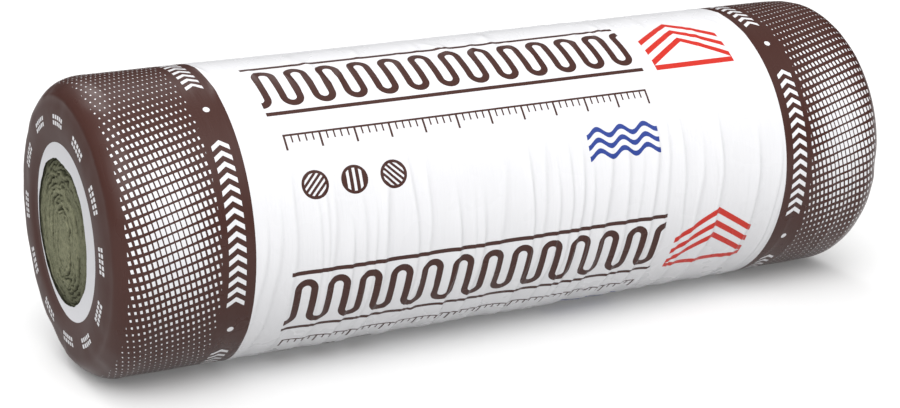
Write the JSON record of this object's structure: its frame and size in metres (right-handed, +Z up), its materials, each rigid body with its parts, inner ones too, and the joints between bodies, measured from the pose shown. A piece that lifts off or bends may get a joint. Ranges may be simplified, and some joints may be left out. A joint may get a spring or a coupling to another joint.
{
  "type": "insulation roll",
  "caption": "Wound roll of mineral-wool insulation in a printed shrink-film sleeve with rounded shoulders, open in a round window at each end where the wound turns bulge out.",
  "frame": {"origin": "on the floor, under the middle of the roll's length", "axes": "+X along the roll's axis, +Z up; the roll lies on its side"},
  "size_m": [1.2, 0.3999, 0.4],
  "materials": {
    "wool": "olive-brown mineral-wool fibre, dull",
    "printed_film": "white polyethylene shrink film printed with brown end bands, glossy"
  },
  "bodies": {
    "root": {"wool_roll": "wool", "film_wrapper": "printed_film"}
  },
  "joints": []
}
